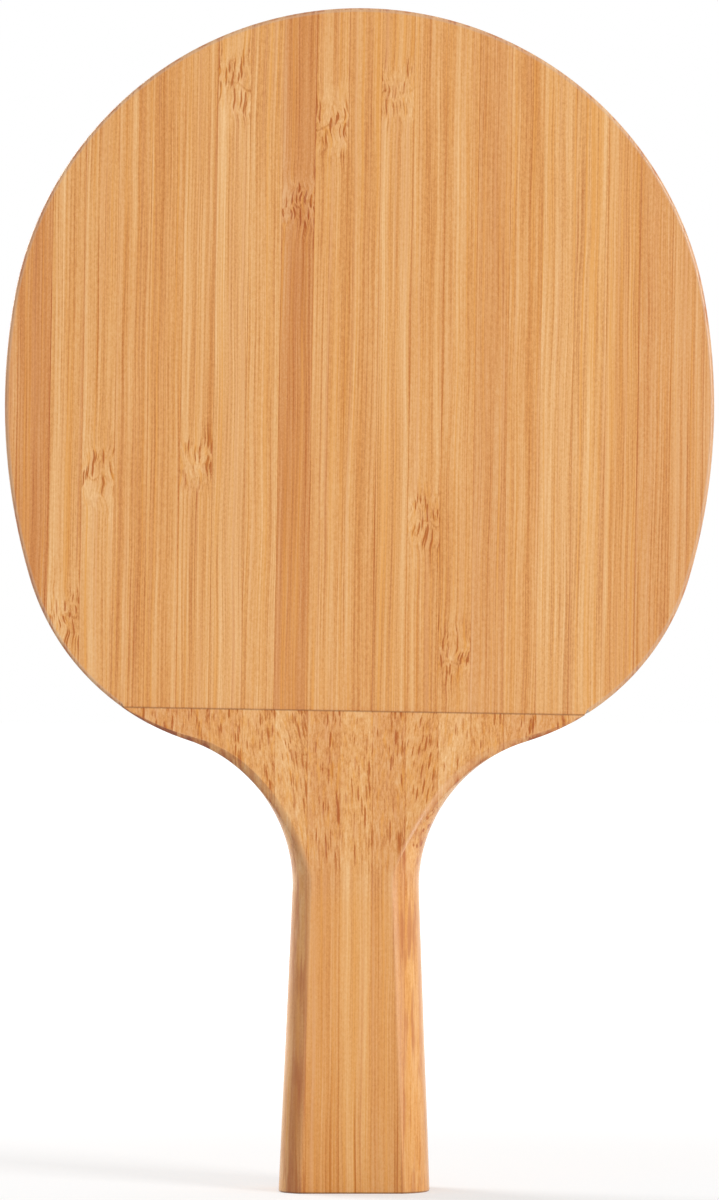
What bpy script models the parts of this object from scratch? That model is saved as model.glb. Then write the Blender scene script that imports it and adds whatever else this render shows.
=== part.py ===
"""A bare bamboo table tennis bat, built up from edge-glued strips.

The blade is one board of strips, and its middle strips run down to the butt as the tongue. Two
handle halves, each a thicker board of strips, are glued to the front and the back of the tongue.
Each half ends in a ramp that runs out on the blade.

Units are metres. The pieces are drawn as they lie on a bench: X across the bat, Y along it from
the butt, Z up through its thickness to the front face. The empty that carries them stands the bat
on its butt, so that the front faces -Y and the head is at the top.
"""

import math

import bmesh
import bpy

MM = 0.001

# The head, seen from the front
BAT_LENGTH = 250 * MM
HEAD_WIDTH = 150 * MM
CROWN_EASE = 0.9 * MM  # of the crown's radius from half the head's width
SIDE_RADIUS = 128.9 * MM
LOWER_RADIUS = 51.2 * MM
LOWER_CENTRE_DROP = 22 * MM  # below the head's widest line

# The handle, seen from the front
BUTT_WIDTH = 31.9 * MM
NECK_WIDTH = 26.7 * MM
HANDLE_OFFSET = -1.15 * MM  # of the butt's middle from the head's middle
HANDLE_LEAN = math.radians(0.32)
NECK_RADIUS = 32 * MM

# Thicknesses and roundings
BLADE_THICKNESS = 6.5 * MM
HANDLE_THICKNESS = 23.5 * MM
HANDLE_ROUNDING = 6 * MM
EDGE_ROUNDING = 0.7 * MM

# The ramp from the handle's flat face to the blade
RAMP_RISE = 3.1 * MM  # of the ramp's start from the handle's narrowest place
RAMP_LENGTH = 34.9 * MM
TOE_HEIGHT = 0.5 * MM
TOE_ROUNDING = 0.3 * MM
ROUNDING_RUN_OUT = 1.3  # power: above 1 the rounding shrinks fastest at the ramp's start
SEAM_TILT = math.radians(-0.97)

# The strips that the boards are glued up from
BLADE_LEFT_REST = 2.7 * MM  # what the board's outermost strip has left of its width
BLADE_RIGHT_REST = 2.4 * MM
HANDLE_LEFT_REST = 4.8 * MM
HANDLE_RIGHT_REST = 3.5 * MM
BLADE_STRIP_LEAN = math.radians(0.95)
STRIPS_DOWN_HANDLE = 5  # of each board, its middle ones
GLUE_LINE = 0.3 * MM

# How finely the shapes are drawn
ARC_STEP = math.radians(2.5)
ROW_STEP = 1.6 * MM
ROUNDING_STEPS = 5
EDGE_STEPS = 2
ROW_ROUNDS = 6  # passes that settle where a tilted row meets the outline
WELD = 0.001 * MM
FLAT = math.radians(0.1)
SHARP = math.radians(30)
BEYOND = 20 * MM  # how far a cutter runs past what it cuts

# Bamboo tones as seen under studio light, 0 to 255
TONES = {
    "pale": (227, 171, 112),
    "honey": (224, 165, 105),
    "golden": (221, 160, 100),
    "tan": (218, 155, 96),
    "brown": (212, 147, 88),
}
LACQUER_ROUGHNESS = 0.42

# The tone of each strip from left to right: a board has as many strips as tones
BLADE_TONES = (
    "tan brown honey honey golden golden honey pale honey brown golden golden"
    " honey golden golden tan golden pale pale golden tan tan tan"
).split()
HANDLE_TONES = "tan tan tan golden honey pale tan honey tan golden pale golden tan tan tan".split()


def clear_scene():
    for obj in list(bpy.data.objects):
        bpy.data.objects.remove(obj, do_unlink=True)


def new_collection(name):
    collection = bpy.data.collections.new(name)
    bpy.context.scene.collection.children.link(collection)
    return collection


def linear(channel):
    """A 0 to 255 sRGB value as the linear value that a shader takes."""
    value = channel / 255
    return value / 12.92 if value <= 0.04045 else ((value + 0.055) / 1.055) ** 2.4


def bamboo(tone):
    material = bpy.data.materials.new("bamboo_" + tone)
    material.use_nodes = True
    shader = material.node_tree.nodes["Principled BSDF"]
    colour = [linear(channel) for channel in TONES[tone]]
    shader.inputs["Base Color"].default_value = (*colour, 1)
    shader.inputs["Roughness"].default_value = LACQUER_ROUGHNESS
    shader.inputs["Metallic"].default_value = 0
    material.diffuse_color = (*colour, 1)
    return material


def arc(centre, radius, start, end):
    """Points on an arc, both ends included."""
    steps = max(1, math.ceil(abs(end - start) / ARC_STEP))
    turns = [start + (end - start) * step / steps for step in range(steps + 1)]
    return [(centre[0] + radius * math.cos(turn), centre[1] + radius * math.sin(turn)) for turn in turns]


def direction(start, end):
    return math.atan2(end[1] - start[1], end[0] - start[0])


def crown_radius():
    return HEAD_WIDTH / 2 - CROWN_EASE


def arc_centres():
    """Centres of the crown, side and lower arcs, each tangent to the one before."""
    crown = (0, BAT_LENGTH - crown_radius())
    flank_x = HEAD_WIDTH / 2 - SIDE_RADIUS
    flank = (flank_x, crown[1] - math.sqrt((SIDE_RADIUS - crown_radius()) ** 2 - flank_x**2))
    reach = math.sqrt((SIDE_RADIUS - LOWER_RADIUS) ** 2 - LOWER_CENTRE_DROP**2)
    lower = (flank[0] + reach, flank[1] - LOWER_CENTRE_DROP)
    return crown, flank, lower


def handle_side(side):
    """The handle's side line x = butt - slope * y, for side 1 or mirrored for side -1.

    The lines are NECK_WIDTH apart level with the centres of the neck's hollow arcs.
    """
    _, _, lower = arc_centres()
    across = NECK_WIDTH / 2 + NECK_RADIUS - lower[0]
    level = lower[1] - math.sqrt((LOWER_RADIUS + NECK_RADIUS) ** 2 - across**2)
    butt = BUTT_WIDTH / 2 + side * HANDLE_OFFSET
    slope = (BUTT_WIDTH - NECK_WIDTH) / 2 / level - side * math.tan(HANDLE_LEAN)
    return butt, slope


def neck_centre(side):
    """Centre of the hollow arc that touches the lower arc and the handle's side line."""
    _, _, lower = arc_centres()
    butt, slope = handle_side(side)
    stretch = math.hypot(1, slope)
    across = butt + NECK_RADIUS * stretch - lower[0]
    a = 1 + slope**2
    b = -2 * (slope * across + lower[1])
    c = across**2 + lower[1] ** 2 - (LOWER_RADIUS + NECK_RADIUS) ** 2
    height = (-b - math.sqrt(b**2 - 4 * a * c)) / (2 * a)
    return lower[0] + across - slope * height, height


def neck_foot(side):
    """Where the neck arc runs into the handle's side line, the handle's narrowest place."""
    centre = neck_centre(side)
    _, slope = handle_side(side)
    inward = math.pi + math.atan(slope)
    return centre[0] + NECK_RADIUS * math.cos(inward), centre[1] + NECK_RADIUS * math.sin(inward)


def half_outline(side):
    """One side of the bat from the crown down to the butt, drawn on the right."""
    crown, flank, lower = arc_centres()
    neck = neck_centre(side)
    butt, slope = handle_side(side)
    shoulder = direction(flank, crown)
    cheek = direction(flank, lower)
    turn = direction(lower, neck)
    widest = 0
    points = arc(crown, crown_radius(), math.pi / 2, shoulder)
    points += arc(flank, SIDE_RADIUS, shoulder, widest)[1:]
    points += arc(flank, SIDE_RADIUS, widest, cheek)[1:]
    points += arc(lower, LOWER_RADIUS, cheek, turn)[1:]
    points += arc(neck, NECK_RADIUS, turn + math.pi, math.pi + math.atan(slope))[1:]
    points.append((butt, 0))
    return points


def bat_outline():
    right = half_outline(1)
    left = [(-x, y) for x, y in half_outline(-1)]
    return right + left[:0:-1]


def edge_at(side, y):
    """The outline's distance from the middle at y, and how far its normal turns from across to along."""
    _, _, lower = arc_centres()
    neck = neck_centre(side)
    butt, slope = handle_side(side)
    turn = direction(lower, neck)
    if y <= neck_foot(side)[1]:
        return butt - slope * y, math.atan(slope)
    if y <= lower[1] + LOWER_RADIUS * math.sin(turn):
        rise = math.asin((y - neck[1]) / NECK_RADIUS)
        return neck[0] - NECK_RADIUS * math.cos(rise), -rise
    fall = math.asin((y - lower[1]) / LOWER_RADIUS)
    return lower[0] + LOWER_RADIUS * math.cos(fall), fall


def edge_on_row(side, y, tilt):
    """edge_at on a row that crosses the bat's middle at y and is tilted."""
    reach = 0
    for _ in range(ROW_ROUNDS):
        reach, turned = edge_at(side, y + side * reach * math.tan(tilt))
    return reach, turned


def narrowest():
    """How far up the bat the handle's straight sides end."""
    return max(neck_foot(side)[1] for side in (-1, 1))


def ramp_start():
    return narrowest() + RAMP_RISE


def ramp_toe():
    return ramp_start() + RAMP_LENGTH


def ramp_height(y):
    """The handle half's outer face above the blade's middle plane, on the row that starts at y."""
    top = HANDLE_THICKNESS / 2
    drop = top - BLADE_THICKNESS / 2 - GLUE_LINE - TOE_HEIGHT
    radius = (RAMP_LENGTH**2 + drop**2) / (2 * drop)
    along = max(0, y - ramp_start())
    return top - radius + math.sqrt(radius**2 - along**2)


def rounding_at(y):
    """The handle half's edge rounding: full on the handle, running out up the ramp."""
    left_to_toe = min(1, (ramp_toe() - y) / RAMP_LENGTH)
    return TOE_ROUNDING + (HANDLE_ROUNDING - TOE_ROUNDING) * left_to_toe**ROUNDING_RUN_OUT


def half_section(y):
    """A handle half cut across at y, from the glued face's left edge over the top to its right edge."""
    tilt = SEAM_TILT * min(1, y / ramp_start())
    base = BLADE_THICKNESS / 2 + GLUE_LINE
    top = ramp_height(y)
    rounding = rounding_at(y)
    section = []
    for side in (-1, 1):
        reach, turned = edge_on_row(side, y, tilt)
        points = [(reach, base)]
        for step in range(ROUNDING_STEPS + 1):
            swing = math.pi / 2 * step / ROUNDING_STEPS
            inset = rounding * (1 - math.cos(swing)) / math.cos(turned)
            points.append((reach - inset, top - rounding * (1 - math.sin(swing))))
        placed = [(side * x, y + side * x * math.tan(tilt), z) for x, z in points]
        section += placed if side < 0 else reversed(placed)
    return section


def section_rows():
    """Places along the bat where a handle half is cut across: closer where the neck turns."""
    start = narrowest()
    run = ramp_toe() - start
    neck_rows = math.ceil(run / ROW_STEP)
    return [0, start / 2] + [start + run * row / neck_rows for row in range(neck_rows + 1)]


def handle_half():
    """The front handle half as one board, lofted over its cross-sections."""
    bm = bmesh.new()
    rings = [[bm.verts.new(point) for point in half_section(y)] for y in section_rows()]
    for lower, upper in zip(rings, rings[1:]):
        for here in range(len(lower)):
            after = (here + 1) % len(lower)
            bm.faces.new((lower[here], lower[after], upper[after], upper[here]))
    bm.faces.new(rings[0])
    bm.faces.new(rings[-1])
    bmesh.ops.recalc_face_normals(bm, faces=bm.faces)
    return finished(bm, "handle_half")


def finished(bm, name):
    mesh = bpy.data.meshes.new(name)
    bm.to_mesh(mesh)
    bm.free()
    mesh.shade_smooth()
    mesh.set_sharp_from_angle(angle=SHARP)
    return mesh


def prism(name, outline, low, high):
    """A mesh of the flat outline, filled and extruded from the height low to high."""
    curve = bpy.data.curves.new(name, "CURVE")
    curve.dimensions = "2D"
    curve.fill_mode = "BOTH"
    curve.extrude = (high - low) / 2
    spline = curve.splines.new("POLY")
    spline.points.add(len(outline) - 1)
    for point, (x, y) in zip(spline.points, outline):
        point.co = (x, y, 0, 1)
    spline.use_cyclic_u = True
    drawn = bpy.data.objects.new(name, curve)
    drawn.location.z = (low + high) / 2
    bpy.context.scene.collection.objects.link(drawn)
    bpy.context.view_layer.update()
    graph = bpy.context.evaluated_depsgraph_get()
    mesh = bpy.data.meshes.new_from_object(drawn.evaluated_get(graph))
    mesh.transform(drawn.matrix_world)
    bpy.data.objects.remove(drawn)
    bm = bmesh.new()
    bm.from_mesh(mesh)
    bpy.data.meshes.remove(mesh)
    bmesh.ops.remove_doubles(bm, verts=bm.verts, dist=WELD)
    bmesh.ops.dissolve_limit(bm, angle_limit=FLAT, verts=bm.verts, edges=bm.edges)
    bmesh.ops.recalc_face_normals(bm, faces=bm.faces)
    return finished(bm, name)


def seam_at(x):
    """How far up the bat the ramp's toe lies, at x."""
    return ramp_toe() + math.tan(SEAM_TILT) * x


def blade():
    """The blade with its tongue as one board, its free edges rounded over."""
    half = BLADE_THICKNESS / 2
    bm = bmesh.new()
    bm.from_mesh(prism("blade", bat_outline(), -half, half))
    free = [
        edge
        for edge in bm.edges
        if abs(edge.verts[0].co.z - edge.verts[1].co.z) < half
        and all(vert.co.y > seam_at(vert.co.x) for vert in edge.verts)
    ]
    bmesh.ops.bevel(
        bm, geom=free, offset=EDGE_ROUNDING, segments=EDGE_STEPS, profile=0.5, affect="EDGES", material=-1
    )
    bmesh.ops.remove_doubles(bm, verts=bm.verts, dist=WELD)
    return finished(bm, "blade")


def along_strips(point, lean):
    """A point's place across and along strips that lean from the bat's middle line."""
    x, y = point
    return x * math.cos(lean) - y * math.sin(lean), x * math.sin(lean) + y * math.cos(lean)


def on_bench(point, lean):
    """The reverse of along_strips."""
    across, along = point
    return across * math.cos(lean) + along * math.sin(lean), along * math.cos(lean) - across * math.sin(lean)


def strip_joints(outline, lean, strips, left_rest, right_rest):
    """Where the glue lines lie across a board: evenly, but for what the outermost strips have left."""
    spread = [along_strips(point, lean)[0] for point in outline]
    first = min(spread) + left_rest
    last = max(spread) - right_rest
    whole = strips - 2
    return [first + (last - first) * number / whole for number in range(whole + 1)]


def strip_regions(joints, lean):
    """The outline that each strip keeps of its board.

    The middle strips run on down the handle, and the outer two of them fill it to its sides. The
    other strips end at the head's lower edge.
    """
    gap = GLUE_LINE / 2
    neck = max(along_strips((side * neck_foot(side)[0], neck_foot(side)[1]), lean)[1] for side in (-1, 1))
    far = HEAD_WIDTH
    top = BAT_LENGTH + BEYOND
    lefts = [-far] + [joint + gap for joint in joints]
    rights = [joint - gap for joint in joints] + [far]
    first_down = (len(lefts) - STRIPS_DOWN_HANDLE) // 2
    last_down = first_down + STRIPS_DOWN_HANDLE - 1
    regions = []
    for place, (left, right) in enumerate(zip(lefts, rights)):
        if first_down <= place <= last_down:
            low_left = -far if place == first_down else left
            low_right = far if place == last_down else right
            step = neck - gap
            region = [(low_left, -BEYOND), (low_right, -BEYOND), (low_right, step), (right, step)]
            region += [(right, top), (left, top), (left, step), (low_left, step)]
        else:
            region = [(left, neck + gap), (right, neck + gap), (right, top), (left, top)]
        regions.append([on_bench(point, lean) for point in region])
    return regions


def add_object(name, mesh, collection, stand):
    obj = bpy.data.objects.new(name, mesh)
    obj.parent = stand
    collection.objects.link(obj)
    return obj


def strip_cutters(board, regions, collection, stand):
    """One upright block for each strip, thick enough to reach through every board."""
    cutters = []
    for number, region in enumerate(regions, 1):
        block = prism(f"{board}_cut_{number:02d}", region, -BEYOND, BEYOND)
        cutter = add_object(block.name, block, collection, stand)
        cutter.hide_render = True
        cutter.display_type = "WIRE"
        cutters.append(cutter)
    return cutters


def add_strips(board, mesh, cutters, tones, materials, collection, stand):
    """The board's strips, numbered from the left, each cut from the whole board's shape."""
    for number, cutter in enumerate(cutters, 1):
        strip_mesh = mesh.copy()
        strip_mesh.materials.append(materials[tones[number - 1]])
        strip = add_object(f"{board}_strip_{number:02d}", strip_mesh, collection, stand)
        cut = strip.modifiers.new("sawn_to_width", "BOOLEAN")
        cut.operation = "INTERSECT"
        cut.object = cutter


def mirrored(mesh, name):
    """The same shape on the other side of the blade's middle plane."""
    bm = bmesh.new()
    bm.from_mesh(mesh)
    bmesh.ops.scale(bm, vec=(1, 1, -1), verts=bm.verts)
    bmesh.ops.reverse_faces(bm, faces=bm.faces)
    return finished(bm, name)


def build_bat():
    clear_scene()
    pieces = new_collection("table_tennis_bat")
    cutters = new_collection("cutters")
    stand = bpy.data.objects.new("bat_upright", None)
    stand.rotation_euler.x = math.pi / 2
    pieces.objects.link(stand)
    materials = {tone: bamboo(tone) for tone in TONES}

    outline = bat_outline()
    joints = strip_joints(outline, BLADE_STRIP_LEAN, len(BLADE_TONES), BLADE_LEFT_REST, BLADE_RIGHT_REST)
    regions = strip_regions(joints, BLADE_STRIP_LEAN)
    blocks = strip_cutters("blade", regions, cutters, stand)
    add_strips("blade", blade(), blocks, BLADE_TONES, materials, pieces, stand)

    sides = [point[:2] for y in section_rows() for point in half_section(y)]
    joints = strip_joints(sides, HANDLE_LEAN, len(HANDLE_TONES), HANDLE_LEFT_REST, HANDLE_RIGHT_REST)
    regions = strip_regions(joints, HANDLE_LEAN)
    blocks = strip_cutters("handle", regions, cutters, stand)
    front = handle_half()
    add_strips("front_handle", front, blocks, HANDLE_TONES, materials, pieces, stand)
    add_strips("back_handle", mirrored(front, "back_half"), blocks, HANDLE_TONES, materials, pieces, stand)


build_bat()
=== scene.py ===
# %% [markdown]
# # A bare bamboo table tennis bat
#
# The bat is glued up from upright bamboo slats. One board of slats makes the blade and runs on
# down the middle of the handle as its tongue. A handle half, a thicker board of slats, is glued
# on each side of the tongue, and ends in a ramp that runs out on the blade.
#
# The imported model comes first. It fixes the sizes and the names, and everything below is fitted
# to it. In its frame the bat stands on its butt: X runs across it, Z up, and the front faces -Y.

import math
import random

import bmesh
import bpy
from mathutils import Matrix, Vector


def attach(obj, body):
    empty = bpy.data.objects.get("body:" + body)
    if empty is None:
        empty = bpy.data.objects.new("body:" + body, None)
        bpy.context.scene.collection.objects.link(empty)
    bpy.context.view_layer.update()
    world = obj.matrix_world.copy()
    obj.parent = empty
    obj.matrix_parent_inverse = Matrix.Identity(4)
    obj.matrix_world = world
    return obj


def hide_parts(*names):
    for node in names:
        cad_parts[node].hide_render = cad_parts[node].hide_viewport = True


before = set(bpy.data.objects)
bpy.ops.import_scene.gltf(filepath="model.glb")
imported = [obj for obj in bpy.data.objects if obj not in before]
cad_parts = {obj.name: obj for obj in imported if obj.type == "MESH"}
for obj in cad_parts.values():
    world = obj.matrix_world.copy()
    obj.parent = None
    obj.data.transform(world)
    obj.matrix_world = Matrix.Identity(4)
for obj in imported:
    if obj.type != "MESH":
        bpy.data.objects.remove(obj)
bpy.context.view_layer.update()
print("nodes in the frame:", len(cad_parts))

# %% [markdown]
# ## The outline
#
# A bat's outline is drawn with a compass. From the crown down, each side is a chain of arcs that
# touch: the crown, the long side, the lower cheek and the hollow neck. The handle's straight
# sides follow, and they spread a little towards the butt. Because neighbouring arcs touch, every
# centre and angle follows from a few radii.

# %% Sizes of the bat
MM = 0.001

BAT_LENGTH = 250 * MM
HEAD_WIDTH = 150 * MM
CROWN_RADIUS = 74.1 * MM
SIDE_RADIUS = 128.9 * MM
CHEEK_RADIUS = 51.2 * MM
CHEEK_DROP = 22 * MM  # of the cheek's centre below the head's widest line
NECK_RADIUS = 32 * MM
BUTT_WIDTH = 31.9 * MM
NECK_WIDTH = 26.7 * MM
HANDLE_OFFSET = -1.15 * MM
HANDLE_LEAN = math.radians(0.32)
print(f"bat {BAT_LENGTH / MM:.0f} mm long, head {HEAD_WIDTH / MM:.0f} mm wide")

# %% Where the arcs are centred
crown = Vector((0, BAT_LENGTH - CROWN_RADIUS))
flank_x = HEAD_WIDTH / 2 - SIDE_RADIUS
flank = Vector((flank_x, crown.y - math.sqrt((SIDE_RADIUS - CROWN_RADIUS) ** 2 - flank_x**2)))
cheek_reach = math.sqrt((SIDE_RADIUS - CHEEK_RADIUS) ** 2 - CHEEK_DROP**2)
cheek = Vector((flank.x + cheek_reach, flank.y - CHEEK_DROP))


def handle_side(side):
    """The handle's straight side, x = butt - slope * z, for side 1 or mirrored for side -1."""
    across = NECK_WIDTH / 2 + NECK_RADIUS - cheek.x
    level = cheek.y - math.sqrt((CHEEK_RADIUS + NECK_RADIUS) ** 2 - across**2)
    butt = BUTT_WIDTH / 2 + side * HANDLE_OFFSET
    slope = (BUTT_WIDTH - NECK_WIDTH) / 2 / level - side * math.tan(HANDLE_LEAN)
    return butt, slope


def neck_centre(side):
    """The centre of the hollow arc that touches the cheek and the handle's side."""
    butt, slope = handle_side(side)
    across = butt + NECK_RADIUS * math.hypot(1, slope) - cheek.x
    a = 1 + slope**2
    b = -2 * (slope * across + cheek.y)
    c = across**2 + cheek.y**2 - (CHEEK_RADIUS + NECK_RADIUS) ** 2
    height = (-b - math.sqrt(b**2 - 4 * a * c)) / (2 * a)
    return Vector((cheek.x + across - slope * height, height))


def neck_foot(side):
    """Where the neck's arc runs into the handle's side."""
    slope = handle_side(side)[1]
    inward = math.pi + math.atan(slope)
    return neck_centre(side) + NECK_RADIUS * Vector((math.cos(inward), math.sin(inward)))


narrowest = max(neck_foot(side).y for side in (-1, 1))
print(f"cheek centred {cheek.y / MM:.1f} mm up, handle narrowest {narrowest / MM:.1f} mm up")

# %% [markdown]
# ## The blade board
#
# The outline starts as one vertex at the crown. The spin operator swings it round each centre
# in turn, which leaves an arc of edges behind it, once for the right side and once for the left.
# The closed outline is filled and extruded to the blade's thickness. The free edge of the head is
# then rounded with a bevel, as a sander would do it, while the part that the handle covers stays
# square. A narrow inset beside the rounding keeps the flat faces shaded flat. The tongue's two
# corners at the butt are broken a little.

# %% Swinging an arc
ARC_STEP = math.radians(1.5)


def direction(start, end):
    return math.atan2(end.y - start.y, end.x - start.x)


def swing(bm, vert, centre, angle):
    """Draws an arc from vert, clockwise as seen from the front, and returns its last vertex."""
    steps = max(1, round(abs(angle) / ARC_STEP))
    made = bmesh.ops.spin(
        bm, geom=[vert], cent=(centre.x, 0, centre.y), axis=(0, 1, 0), angle=angle, steps=steps
    )
    return [piece for piece in made["geom_last"] if isinstance(piece, bmesh.types.BMVert)][0]


print(f"an arc turns about {math.degrees(ARC_STEP):.1f} degrees at each vertex")

# %% The outline
def draw_side(bm, top, side):
    """One side of the outline, from the crown's top vertex to the butt's corner."""
    neck = neck_centre(side)
    shoulder = direction(flank, crown)
    low_side = direction(flank, cheek)
    turn = direction(cheek, neck)
    slope_angle = math.atan(handle_side(side)[1])
    vert = top
    for centre, angle in (
        (crown, math.pi / 2 - shoulder),
        (flank, shoulder),
        (flank, -low_side),
        (cheek, low_side - turn),
        (neck, turn - slope_angle),
    ):
        vert = swing(bm, vert, Vector((side * centre.x, centre.y)), side * angle)
    corner = bmesh.ops.extrude_vert_indiv(bm, verts=[vert])["verts"][0]
    corner.co = (side * handle_side(side)[0], 0, 0)
    return corner


def outline_face():
    bm = bmesh.new()
    top = bmesh.ops.create_vert(bm, co=(0, 0, BAT_LENGTH))["vert"][0]
    corners = [draw_side(bm, top, side) for side in (1, -1)]
    bmesh.ops.contextual_create(bm, geom=corners)
    bmesh.ops.contextual_create(bm, geom=bm.edges[:])
    return bm


sketch = outline_face()
print("outline:", len(sketch.edges), "edges,", len(sketch.faces), "face")
sketch.free()

# %% The ramp's two lines
RAMP_RISE = 3.1 * MM
RAMP_LENGTH = 34.9 * MM
SEAM_TILT = math.radians(-0.97)

ramp_start = narrowest + RAMP_RISE
ramp_toe = ramp_start + RAMP_LENGTH


def seam_at(x):
    """How far up the blade the ramp's toe lies, at x."""
    return ramp_toe + math.tan(SEAM_TILT) * x


print(f"ramp from {ramp_start / MM:.1f} to {ramp_toe / MM:.1f} mm up")

# %% Rounding edges
WELD = 0.001 * MM


def round_over(bm, edges, offset, steps):
    bmesh.ops.bevel(
        bm, geom=edges, offset=offset, segments=steps, profile=0.5, affect="EDGES", material=-1
    )
    bmesh.ops.remove_doubles(bm, verts=bm.verts, dist=WELD)


print(f"a bevel merges points within {WELD / MM} mm")

# %% Which of the blade's edges are rounded
BLADE_HALF = 3.25 * MM  # half the blade's thickness


def thick_outline():
    bm = outline_face()
    raised = bmesh.ops.extrude_face_region(bm, geom=bm.faces[:])
    lifted = [piece for piece in raised["geom"] if isinstance(piece, bmesh.types.BMVert)]
    bmesh.ops.translate(bm, verts=bm.verts, vec=(0, -BLADE_HALF, 0))
    bmesh.ops.translate(bm, verts=lifted, vec=(0, 2 * BLADE_HALF, 0))
    bmesh.ops.recalc_face_normals(bm, faces=bm.faces)
    return bm


def free_rim(edge):
    """Whether an edge borders a flat face of the head, above the ramp's toe."""
    in_face = abs(edge.verts[0].co.y - edge.verts[1].co.y) < WELD
    return in_face and all(vert.co.z > seam_at(vert.co.x) for vert in edge.verts)


def butt_corner(edge):
    """Whether an edge runs through the blade at one of the tongue's two corners."""
    at_butt = all(vert.co.z < WELD for vert in edge.verts)
    return at_butt and abs(edge.verts[0].co.x - edge.verts[1].co.x) < WELD


square = thick_outline()
print(sum(free_rim(edge) for edge in square.edges), "edges of the head are rounded")
square.free()

# %% The blade board
EDGE_ROUNDING = 0.7 * MM
EDGE_STEPS = 4
# the rim's mark places worn lacquer and a painted sheen
RIM_WEAR_AND_SHEEN = 2 * EDGE_ROUNDING  # how far down the rim from a face the wear reaches
RIM_BORDER = 0.25 * MM
BUTT_ARRIS = 0.35 * MM
ARRIS_STEPS = 2
MANY_CORNERS = 50  # only the two flat faces have more


def blade_board():
    bm = thick_outline()
    round_over(bm, [edge for edge in bm.edges if free_rim(edge)], EDGE_ROUNDING, EDGE_STEPS)
    wear_and_painted_light = bm.verts.layers.float.new("wear_and_painted_light")
    # the rim is marked for its wear and for the painted sheen on it
    for vert in bm.verts:
        on_rim = abs(vert.co.y) > BLADE_HALF - RIM_WEAR_AND_SHEEN and vert.co.z > ramp_toe
        vert[wear_and_painted_light] = 1.0 if on_rim else 0.0
    flats = [face for face in bm.faces if len(face.verts) > MANY_CORNERS]
    bmesh.ops.inset_region(bm, faces=flats, thickness=RIM_BORDER)
    for face in flats:
        for vert in face.verts:
            vert[wear_and_painted_light] = 0.0
    round_over(bm, [edge for edge in bm.edges if butt_corner(edge)], BUTT_ARRIS, ARRIS_STEPS)
    return bm


blade = blade_board()
print("blade board:", len(blade.faces), "faces")

# %% [markdown]
# ## The handle halves
#
# A handle half starts as a block as thick as the handle, with rounded long edges. The roundings
# stop a little short of the face, so a crease runs down each side of it. They were sanded by hand:
# the right one is larger, and the left one grows towards the butt. The ramp is sanded after that,
# level at first and then ever steeper, and it cuts into the roundings, so the crease swings out to
# the outline as the ramp sinks. There it is only a broken edge. No single operator makes this
# shape, so it is a loft: a row of cross-sections, each worked out from the outline, joined in
# pairs with bridge_loops.

# %% The outline as a distance from the middle
ROW_ROUNDS = 6  # passes that settle where a tilted row meets the outline


def edge_at(side, z):
    """The outline's distance from the middle at z, and how far its normal turns from X to Z."""
    neck = neck_centre(side)
    butt, slope = handle_side(side)
    turn = direction(cheek, neck)
    if z <= neck_foot(side).y:
        return butt - slope * z, math.atan(slope)
    if z <= cheek.y + CHEEK_RADIUS * math.sin(turn):
        rise = math.asin((z - neck.y) / NECK_RADIUS)
        return neck.x - NECK_RADIUS * math.cos(rise), -rise
    fall = math.asin((z - cheek.y) / CHEEK_RADIUS)
    return cheek.x + CHEEK_RADIUS * math.cos(fall), fall


def edge_on_row(side, z, tilt):
    """The same on a row that crosses the middle at z and is tilted."""
    reach = 0
    for _ in range(ROW_ROUNDS):
        reach, turned = edge_at(side, z + side * reach * math.tan(tilt))
    return reach, turned


print(f"the toe's right end is {edge_on_row(1, ramp_toe, SEAM_TILT)[0] / MM:.1f} mm from the middle")

# %% How high and how round
HANDLE_HALF = 11.75 * MM  # half the handle's thickness
TOE_HEIGHT = 0.5 * MM
RAMP_CURVE = 1.4  # power: 1 makes the ramp straight, and 2 makes it start almost level
NECK_ROUNDING = {-1: 6.2 * MM, 1: 8.5 * MM}  # radius on the left and on the right
BUTT_ROUNDING = {-1: 7.2 * MM, 1: 8.5 * MM}


def ramp_height(z):
    """The half's outer face, from the blade's middle plane."""
    drop = HANDLE_HALF - BLADE_HALF - TOE_HEIGHT
    share = max(0, z - ramp_start) / RAMP_LENGTH
    return HANDLE_HALF - drop * share**RAMP_CURVE


def rounding(side, z):
    """The rounding's radius, which changes evenly from the butt to the neck."""
    share = min(1, z / narrowest)
    return BUTT_ROUNDING[side] + (NECK_ROUNDING[side] - BUTT_ROUNDING[side]) * share


middle_rise = ramp_height((ramp_start + ramp_toe) / 2)
print(f"ramp {RAMP_LENGTH / MM:.1f} mm long, {middle_rise / MM:.1f} mm from the blade's middle halfway")

# %% The wall and the broken edge
ROUNDING_LIFT = {-1: 0.5 * MM, 1: 0.45 * MM}  # of its arc above the handle's face
EDGE_BROKEN = 1.6 * MM  # most that the broken edge between an upright wall and the face is wide
EDGE_SHARE = 0.45  # of the half's height above the blade: the edge's width where that is low
EDGE_BEND = 0.3  # 0 makes the broken edge a chamfer, 1 rounds it fully
EDGE_ROWS = 4
WALL_STEPS = 12
# the wall's top steps and the broken edge are marked for wear, a little painted sheen and painted shade
WALL_WEAR_AND_PAINTED_LIGHT = 0.6  # at the wall's top, and less at each of the steps below that are worn
WORN_STEPS = 4
FLAT_BORDER = 0.25 * MM


def wall_inset(side, radius, height):
    """How far the rounding has taken the wall in at a height, and how far it leans there."""
    rise = height - (HANDLE_HALF + ROUNDING_LIFT[side] - radius)
    if rise <= 0:
        return 0, 0
    lean = math.asin(rise / radius)
    return radius * (1 - math.cos(lean)), lean


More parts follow.
